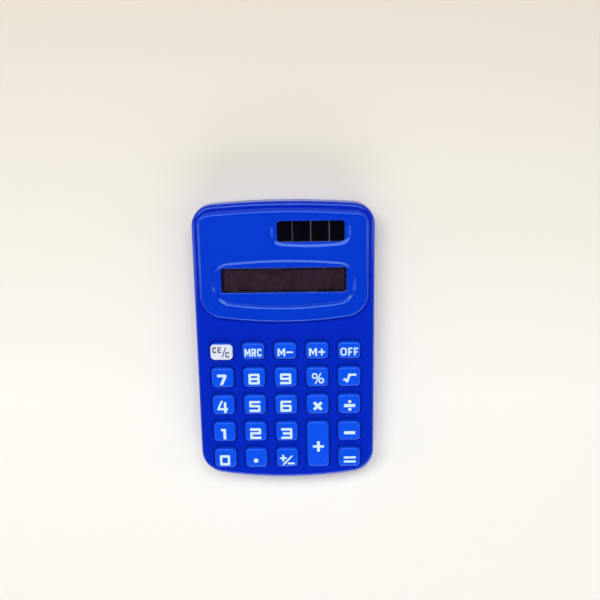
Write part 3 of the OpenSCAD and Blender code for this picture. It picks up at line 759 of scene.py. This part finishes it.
# The outlines of each key's legend, in millimetres from the middle of the key. Each outline is a
# list of corners: x, y and, where a corner is rounded more than the ink's own softness, a radius.
LEGENDS = {
    "key_0": ring(-1.90, -2.78, 1.45, 0.88, 0.3, 0.78, 0.9),
    "key_1": [[(0.48, 0.85), (-1.18, 0.85), (-1.10, 0.05), (-0.42, 0.05, 0.15), (-0.42, -2.82),
               (0.48, -2.82)]],
    "key_2": digit("a0 d0o d3s b3 b4 d4 d5 a5 a2s c2 c1 a1",
                   1.02, 0.12, -0.38, -1.16, -1.92, -2.80),
    "key_3": digit("a0 d0o d5o a5 a4 c4 c3 m3 m2 c2 c1 a1",
                   0.96, 0.12, -0.50, -1.28, -2.02, -2.84),
    "key_4": [[(-0.78, 1.32), (-0.12, 1.32), (-1.18, -1.18), (0.12, -1.18), (0.12, 0.80),
               (0.95, 0.80), (0.95, -1.18), (1.40, -1.18), (1.40, -1.93), (0.95, -1.93),
               (0.95, -2.93), (0.12, -2.93), (0.12, -1.93), (-2.07, -1.93), (-2.07, -1.50)]],
    "key_5": digit("d0 a0 a3t c3 c4 a4 a5 d5o d2o b2 b1 d1",
                   1.12, 0.38, -0.22, -1.02, -1.82, -2.68),
    "key_6": digit("d0 a0o a5o d5o d2o b2 b1 d1",
                   1.12, 0.38, -0.24, -1.02, -1.82, -2.68, shift=-0.1)
    + [block(-1.14, -1.82, 0.92, -1.02, 0.12)],
    "key_7": [[(-1.68, 0.93), (1.32, 0.93, 0.12), (1.32, 0.05), (0.05, -2.63), (-0.96, -2.63),
               (0.28, 0.05), (-1.68, 0.05)]],
    "key_8": digit("a0o d0o d1t q2t d3t d4o a4o a3t p2t a1t", -2.54, -0.95, -0.66, -0.38, 1.12)
    + [block(-1.04, -1.72, 1.02, -1.06, 0.12), block(-1.04, -0.28, 1.02, 0.34, 0.12)],
    "key_9": digit("a5 d5o d0o a0o a3o c3 c4 a4", 1.12, 0.34, -0.28, -1.06, -1.72, -2.54)
    + [block(-1.04, -0.28, 1.02, 0.34, 0.12)],
    "key_point": disc(-0.15, -1.12, 0.78),
    "key_sign": plus(-1.35, -0.32, 2.25, 2.3, 0.62, 0.68)
    + slash(-1.42, -2.78, 1.60, 0.50, 0.56)
    + [block(0.10, -2.56, 2.42, -1.90)],
    "key_equals": [block(-1.78, -0.63, 2.18, 0.12), block(-1.78, -2.08, 2.18, -1.33)],
    "key_add": plus(0.10, -0.92, 3.67, 3.67, 0.83, 0.97),
    "key_subtract": [block(-1.70, -1.36, 1.96, -0.31)],
    "key_divide": [block(-1.70, -1.24, 1.97, -0.19)] + disc(0.18, 0.62, 0.54)
    + disc(0.2, -2.02, 0.54),
    "key_multiply": plus(0, 0, 3.5, 3.5, 0.98, 0.98),
    "key_percent": ring(-1.78, -0.88, 0.05, 1.18, 0.85, 0.5, 0.5)
    + ring(0.30, -2.40, 2.13, -0.42, 0.85, 0.5, 0.5)
    + slash(-0.72, -2.48, 1.12, 1.12, 0.40),
    "key_root": [[(-2.07, -1.45), (-1.75, -0.72), (-1.05, -0.72), (-0.78, -1.22),
                  (-0.30, 0.83, 0.15), (2.27, 0.83), (2.27, 0.10), (0.42, 0.10, 0.1),
                  (-0.40, -2.12), (-0.92, -2.12), (-1.28, -1.45)]],
    "key_memory_recall": letter_m(-2.78, -0.86, s=0.5) + letter_r(-0.52, 0.86)
    + letter_c(1.22, 2.64, FOOT, HEAD, 0.48),
    "key_memory_minus": letter_m(-2.42, 0.0) + [block(0.34, -0.90, 2.50, -0.36)],
    "key_memory_plus": letter_m(-2.60, -0.05) + plus(1.47, -0.66, 2.15, 2.3, 0.52, 0.56),
    "key_off": ring(-2.80, FOOT, -0.76, HEAD, 0.8, 0.52, 0.48) + letter_f(-0.32, 1.03)
    + letter_f(1.50, 2.90),
    "key_clear": letter_c(-2.83, -1.65, -0.73, 1.28, 0.36, r=0.45)
    + letter_e(-1.15, -0.05, -0.66, 1.22, 0.34)
    + slash(0.22, -2.10, 1.42, 1.20, 0.30) + letter_c(1.20, 2.52, -2.22, -0.34, 0.36, r=0.45),
}
TURNED = {"key_multiply": (45, (0.03, -0.77))}


def legend_mesh(outlines, turned, centre, z, thickness):
    """Flat lettering from its outlines, filled between them and given the ink's thickness."""
    bm = bmesh.new()
    for outline in outlines:
        corners = [(*corner, SOFT)[:3] for corner in outline]
        face = bm.faces.new([bm.verts.new((x, y, 0)) for x, y, r in corners])
        verts = list(face.verts)
        for radius in sorted({r for x, y, r in corners}):
            chosen = [v for v, (x, y, r) in zip(verts, corners) if r == radius]
            round_corners(bm, chosen, radius, 4)
    bmesh.ops.delete(bm, geom=list(bm.faces), context="FACES_ONLY")
    fill_level(bm, 0)
    solid = bmesh.ops.extrude_face_region(bm, geom=list(bm.faces), use_keep_orig=True)
    raised = [g for g in solid["geom"] if isinstance(g, bmesh.types.BMVert)]
    bmesh.ops.translate(bm, vec=(0, 0, thickness), verts=raised)
    if turned:
        angle, shift = turned
        bmesh.ops.rotate(bm, cent=(0, 0, 0), matrix=Matrix.Rotation(math.radians(angle), 3, "Z"),
                         verts=bm.verts)
        bmesh.ops.translate(bm, vec=(*shift, 0), verts=bm.verts)
    bmesh.ops.translate(bm, vec=(centre.x, centre.y, z), verts=bm.verts)
    return bm


# ---- operators ----

class CALCULATOR_OT_casings(bpy.types.Operator):
    """Front and rear casing, moulded in glossy plastic"""
    bl_idname = "calculator.casings"
    bl_label = "Casings"

    def execute(self, context):
        p, tones = Plan(), context.scene.calculator_finishes
        deck = p.body_sizes.deck
        # The deck shade below the hood's level is painted shade, darker than the hood's own colour
        front = plastic("front_plastic", tones.deck, upper=tones.hood,
                        heights=(deck + 0.1, deck + 0.9))
        rear = plastic("rear_plastic", tones.rear, rough=(0.24, 0.32), grain=(0.45, 0.0014))
        piece("casing_front", front_casing_mesh(p), CASING, "front_plastic", front,
              replaces=["front_casing"])
        piece("casing_rear", rear_casing_mesh(p), CASING, "rear_plastic", rear,
              replaces=["rear_casing"])
        return {"FINISHED"}


class CALCULATOR_OT_keys(bpy.types.Operator):
    """The moulded keys, hollow inside, each on its own body"""
    bl_idname = "calculator.keys"
    bl_label = "Keys"

    def execute(self, context):
        p, tones = Plan(), context.scene.calculator_finishes
        cap = plastic("key_plastic", tones.key, rough=(0.28, 0.38))
        for node in KEY_NODES:
            piece("cap_" + node.removeprefix("key_"), key_mesh(p, node), node, "key_plastic", cap,
                  replaces=[node])
        return {"FINISHED"}


class CALCULATOR_OT_legends(bpy.types.Operator):
    """The printed legends, and the pale patch on the clear key"""
    bl_idname = "calculator.legends"
    bl_label = "Legends"

    def execute(self, context):
        p, tones = Plan(), context.scene.calculator_finishes
        printed = {"rough": (0.35, 0.5), "size": 0.3, "bump": 0.003, "amount": 0.03}
        white = matte("white_ink", tones.ink, **printed)
        dark = matte("dark_ink", tones.dark_ink, rough=(0.4, 0.55), size=0.3, bump=0.003)
        for node in KEY_NODES:
            centre, top = cad_middle(node), BOXES[node][1].z
            centre.y += LEGEND_RISE
            ink, z = white, top - 0.01
            if node == "key_clear":
                ink, z = dark, top + p.keys.ink - 0.005        # lies on the patch
            bm = legend_mesh(LEGENDS[node], TURNED.get(node), centre, z, p.keys.ink)
            crown(bm, p, node, top - p.keys.edge)
            piece("legend_" + node.removeprefix("key_"), bm, node, "key_plastic", ink)
        piece("patch_clear", self.patch(p), "key_clear", "key_plastic",
              matte("patch_ink", tones.patch, **printed))
        return {"FINISHED"}

    @staticmethod
    def patch(p):
        """Paint over a key's top and down its rounded edge, but for a strip at the upper end."""
        k = p.keys
        middle, foot = cad_middle("key_clear"), BOXES["key_clear"][1].z - k.edge
        bare, corner = 0.42, 0.75
        bm = bmesh.new()
        climb(bm, box_face(bm, middle, k.width + 2 * k.ink, k.function_length + 2 * k.ink,
                           k.corner + k.ink, foot),
              bend(k.edge, 90, 0, 8), straight(0, k.ink))
        fill_level(bm, foot)
        # Cuts along the strip and across both of its corners, each closed again
        for side in (-1, 0, 1):
            at = (middle.x + side * (k.width / 2 - corner),
                  middle.y + k.function_length / 2 - bare, 0)
            away = Vector((side, 1, 0)).normalized()
            made = bmesh.ops.bisect_plane(bm, geom=[*bm.verts, *bm.edges, *bm.faces], dist=1e-5,
                                          plane_co=at, plane_no=away, clear_outer=True)
            fill(bm, [g for g in made["geom_cut"] if isinstance(g, bmesh.types.BMEdge)], away)
        crown(bm, p, "key_clear", foot)
        return bm


class CALCULATOR_OT_windows(bpy.types.Operator):
    """The display pane and the solar pane, each on a thin flange under its dish"""
    bl_idname = "calculator.windows"
    bl_label = "Windows"

    def execute(self, context):
        p = Plan()
        self.pane(p, "display", clear("smoked_acrylic", (0.72, 0.66, 0.70)), *p.window_hole)
        self.pane(p, "solar", clear("clear_acrylic", (0.86, 0.88, 0.9)), *p.solar_hole)
        return {"FINISHED"}

    @staticmethod
    def pane(p, name, material, centre, width, span, radius, floor_z):
        node = name + "_window"
        low, high = BOXES[node]
        fit, soft, flange = 0.1, 0.12, 1.2
        top, base = min(floor_z - p.display.pane_sink, high.z), low.z + 0.03
        under = floor_z - p.body_sizes.wall - 0.01
        bm = bmesh.new()
        walls(bm, box_face(bm, centre, width + 2 * flange, span + 2 * flange, radius + flange,
                           base), straight(0, under - base))
        # The underside closes the flange, and the block stands on its upper face
        climb(bm, box_face(bm, centre, width - 2 * fit, span - 2 * fit, radius, under),
              straight(0, top - soft - under), bend(soft, 90, 0, 4))
        fill_level(bm, under)
        fill_level(bm, base)
        piece("pane_" + name, bm, CASING, name + "_pane", material, replaces=[node])


class CALCULATOR_OT_display(bpy.types.Operator):
    """Finishes of the display's glass, films and rubber connector; the film has a painted shadow
    along the window's edges
    """
    bl_idname = "calculator.display"
    bl_label = "Display"

    def execute(self, context):
        nodes, p = frame["nodes"], Plan()
        d = p.display
        dress(nodes["display_glass"], mottled("display_glass", (0.1, 0.11, 0.1), (5, 0.05),
                                              (0.04, 0.09, 2), (3, 0.001), IOR=1.52))
        # Painted shadow: the film turns near black along the edges of the window, where its walls
        # would shade it
        film, rim = Finish("polarising_film_painted_shadow"), 0.3
        seen = film.painted_shadow_frame((0.105, 0.062, 0.100), (0.004, 0.003, 0.012), p.window,
                           (d.window_width - rim, d.window_length - rim), band=1.0)
        dress(nodes["display_films"], film.coat(seen, (0.22, 0.34, 2), (0.3, 0.001), IOR=1.45))
        dress(nodes["display_connector"], matte("connector_rubber", (0.5, 0.2, 0.2)))
        return {"FINISHED"}


class CALCULATOR_OT_solar_panel(bpy.types.Operator):
    """The solar panel: a silvery plate with a row of dark cells on it, and its leads"""
    bl_idname = "calculator.solar_panel"
    bl_label = "Solar panel"

    def execute(self, context):
        gap = Plan().display.cell_gap
        low, high = BOXES["solar_panel"]
        size, middle = high - low, (low + high) / 2
        count = context.scene.calculator_display.cells
        rise, margin, corner = 0.04, 0.15, 0.1
        level = high.z - 0.05 - rise
        plate, cells = bmesh.new(), bmesh.new()
        climb(plate, box_face(plate, middle, size.x, size.y, 0.15, low.z),
              straight(0, level - low.z))
        fill_level(plate, low.z)
        pitch = size.x / count
        for i in range(count):
            climb(cells, box_face(cells, (low.x + pitch * (i + 0.5), middle.y), pitch - gap,
                                  size.y - 2 * margin, corner, level), straight(0, rise))
        fill_level(cells, level)
        grid = matte("cell_grid", (0.72, 0.75, 0.80), rough=(0.35, 0.5), size=0.2, bump=0.002)
        dark = mottled("solar_cells", (0.001, 0.0007, 0.012), (3, 0.4), (0.12, 0.2, 1.2),
                       (0.8, 0.001), IOR=1.45, Specular_IOR_Level=0.1)
        piece("solar_plate", plate, CASING, "solar_cells", grid, replaces=["solar_panel"])
        piece("solar_cells", cells, CASING, "solar_cells", dark)
        dress(frame["nodes"]["solar_leads"], matte("lead_insulation", (0.55, 0.03, 0.02)))
        return {"FINISHED"}


class CALCULATOR_OT_inner_parts(bpy.types.Operator):
    """Finishes of the board, the key membrane, the small parts, the cell and the screws"""
    bl_idname = "calculator.inner_parts"
    bl_label = "Inner parts"

    def execute(self, context):
        board = Finish("circuit_board")
        lengthwise = (1.0, 0.25, 1.0)
        weave = board.ramp(board.noise(0.5, 2.0, lengthwise), (0.35, (0.006, 0.085, 0.03)),
                           (0.65, (0.012, 0.15, 0.055)))
        finishes = {
            "circuit_board": board.coat(weave, (0.3, 0.42, 1.5), (0.5, 0.006), lengthwise, IOR=1.5),
            "key_membrane": matte("silicone_rubber", (0.55, 0.56, 0.58), rough=(0.5, 0.65)),
            "chip": matte("epoxy", (0.012, 0.012, 0.013), rough=(0.2, 0.4), size=1.2, bump=0.02),
            "button_cell": metal("cell_can", (0.62, 0.61, 0.58), (0.22, 0.34)),
            "cell_clip": metal("contact_spring", (0.72, 0.62, 0.42), (0.25, 0.36)),
            "cell_contact": metal("contact_leaf", (0.72, 0.62, 0.42), (0.25, 0.36)),
            "casing_screws": metal("screw_steel", (0.48, 0.48, 0.50), (0.28, 0.42), size=0.25),
            "board_screws": metal("board_screw_steel", (0.55, 0.55, 0.57), (0.28, 0.42), size=0.25),
        }
        for node, shade in (("resistor", (0.02, 0.02, 0.022)), ("capacitor", (0.42, 0.27, 0.14)),
                            ("diode", (0.05, 0.05, 0.055))):
            finishes[node] = matte(node + "_body", shade, size=0.15, bump=0.004)
        for node, material in finishes.items():
            dress(frame["nodes"][node], material)
        return {"FINISHED"}


class CALCULATOR_OT_stage(bpy.types.Operator):
    """A plain pale floor, soft light from above and a camera over the keys"""
    bl_idname = "calculator.stage"
    bl_label = "Stage"

    def execute(self, context):
        scene = context.scene
        self.floor(scene.calculator_finishes.floor)
        for name, place, size, power in (
                ("upper_light", (-0.08, 0.40, 0.60), (1.0, 0.28), 5.4),
                ("lower_light", (0.10, -0.66, 0.27), (1.2, 0.28), 4.6),
                ("left_light", (-0.70, -0.02, 0.38), (0.2, 0.7), 1.1),
                ("right_light", (0.72, 0.02, 0.42), (0.2, 0.7), 1.1)):
            self.light(scene, name, place, size, power)
        self.room(scene)
        self.camera(scene)
        scene.view_settings.view_transform = "Standard"
        return {"FINISHED"}

    @staticmethod
    def floor(shade):
        bm = bmesh.new()
        bmesh.ops.create_circle(bm, cap_ends=True, segments=64, radius=1.0)
        obj = new_object("floor", bm)
        # Painted shade: the paper goes from its own shade to a darker, warmer one across the
        # middle, towards +Y, under the upper lamp
        paper = Finish("floor_paper")
        painted_shade_tone = [c * f for c, f in zip(shade, (0.68, 0.62, 0.53))]
        painted_shade_fade = paper.spread(paper.along(paper.place, "Y"), 0, 1, -0.02, 0.16)
        dress(obj, paper.coat(paper.ramp(painted_shade_fade, (0, shade), (1, painted_shade_tone)), (0.7, 0.85, 4),
                              (1.5, 0.01), Specular_IOR_Level=0.2))

    @staticmethod
    def light(scene, name, place, size, power):
        data = bpy.data.lights.new(name, "AREA")
        data.shape = "RECTANGLE"
        data.size, data.size_y = size
        data.energy = power
        obj = bpy.data.objects.new(name, data)
        obj.location = place
        obj.rotation_euler = (-obj.location).to_track_quat("-Z", "Y").to_euler()
        scene.collection.objects.link(obj)

    @staticmethod
    def room(scene):
        """A dim room, with a pale band at the horizon that is seen but gives no light."""
        scene.world = bpy.data.worlds.new("soft_room")
        scene.world.use_nodes = True
        tree = Nodes(scene.world.node_tree)
        height = tree.along(tree.node("TexCoord").outputs["Generated"], "Z")
        pale, dim = [(level, level * 0.985, level * 0.96) for level in (0.85, 0.02)]
        rays = tree.node("LightPath").outputs
        seen = tree.combine("MAXIMUM", rays["Is Glossy Ray"], rays["Is Transmission Ray"])
        seen = tree.combine("MAXIMUM", rays["Is Camera Ray"], seen)
        shade = tree.mix(seen, (0.05, 0.049, 0.048, 1.0),
                         tree.ramp(height, (0.1, pale), (0.3, dim)))
        tree.feed(tree.tree.nodes["Background"].inputs["Color"], shade)

    @staticmethod
    def camera(scene):
        data = bpy.data.cameras.new("camera")
        data.lens = 38.94
        data.sensor_width = 36.0
        data.clip_start = 0.01
        obj = bpy.data.objects.new("camera", data)
        obj.location = (0.0084, 0.0554, 0.2088)
        obj.rotation_euler = [math.radians(a) for a in (-11.46, 0.80, -0.88)]
        scene.collection.objects.link(obj)
        scene.camera = obj


class CALCULATOR_PT_panel(bpy.types.Panel):
    """Builds the calculator piece by piece"""
    bl_idname = "CALCULATOR_PT_panel"
    bl_label = "Pocket Calculator"
    bl_space_type = "VIEW_3D"
    bl_region_type = "UI"
    bl_category = "Calculator"

    def draw(self, context):
        for operator in OPERATORS:
            self.layout.operator(operator.bl_idname)
        for group in SETTINGS:
            box = self.layout.box()
            settings = getattr(context.scene, group)
            for name in settings.bl_rna.properties.keys():
                if name not in ("rna_type", "name"):
                    box.prop(settings, name)


SETTINGS = {
    "calculator_casing": CasingSizes,
    "calculator_display": DisplaySizes,
    "calculator_keys": KeySizes,
    "calculator_finishes": Finishes,
}
OPERATORS = (
    CALCULATOR_OT_casings,
    CALCULATOR_OT_keys,
    CALCULATOR_OT_legends,
    CALCULATOR_OT_windows,
    CALCULATOR_OT_display,
    CALCULATOR_OT_solar_panel,
    CALCULATOR_OT_inner_parts,
    CALCULATOR_OT_stage,
)


def register():
    for cls in (*SETTINGS.values(), *OPERATORS, CALCULATOR_PT_panel):
        bpy.utils.register_class(cls)
    for name, group in SETTINGS.items():
        setattr(bpy.types.Scene, name, PointerProperty(type=group))


def unregister():
    for name in SETTINGS:
        delattr(bpy.types.Scene, name)
    for cls in (CALCULATOR_PT_panel, *reversed(OPERATORS), *reversed(SETTINGS.values())):
        bpy.utils.unregister_class(cls)


def main():
    register()
    for operator in OPERATORS:
        group, name = operator.bl_idname.split(".")
        getattr(getattr(bpy.ops, group), name)()


if __name__ == "__main__":
    main()
